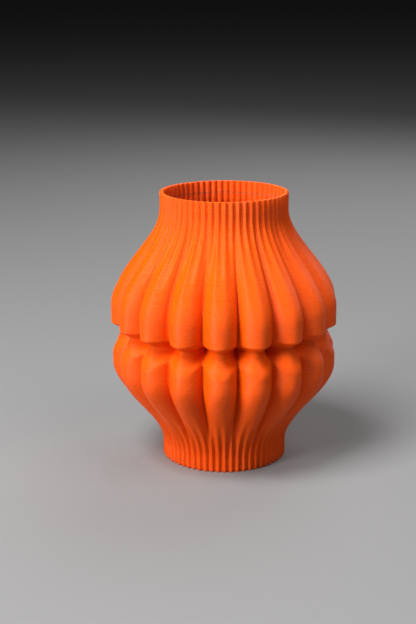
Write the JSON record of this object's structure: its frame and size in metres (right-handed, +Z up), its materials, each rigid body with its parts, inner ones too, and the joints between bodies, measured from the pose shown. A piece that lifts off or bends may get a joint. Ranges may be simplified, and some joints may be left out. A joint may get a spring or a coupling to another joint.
{
  "type": "fluted vase",
  "caption": "Round-bellied fluted vase, a single thin printed wall with lobes pinched at the waist, fine flutes at foot and neck, and an open mouth.",
  "frame": {"origin": "centre of the underside, on the vertical axis of the vase", "axes": "+Z up along the vase's axis, -Y towards the lobe crest that faces the viewer, +X to the viewer's right"},
  "size_m": [0.165, 0.1672, 0.2],
  "materials": {
    "orange_plastic": "satin printed plastic with fine level layer lines"
  },
  "bodies": {
    "root": {"floor": "orange_plastic", "foot": "orange_plastic", "lower_bowl": "orange_plastic", "waist": "orange_plastic", "upper_bowl": "orange_plastic", "neck": "orange_plastic"}
  },
  "joints": []
}
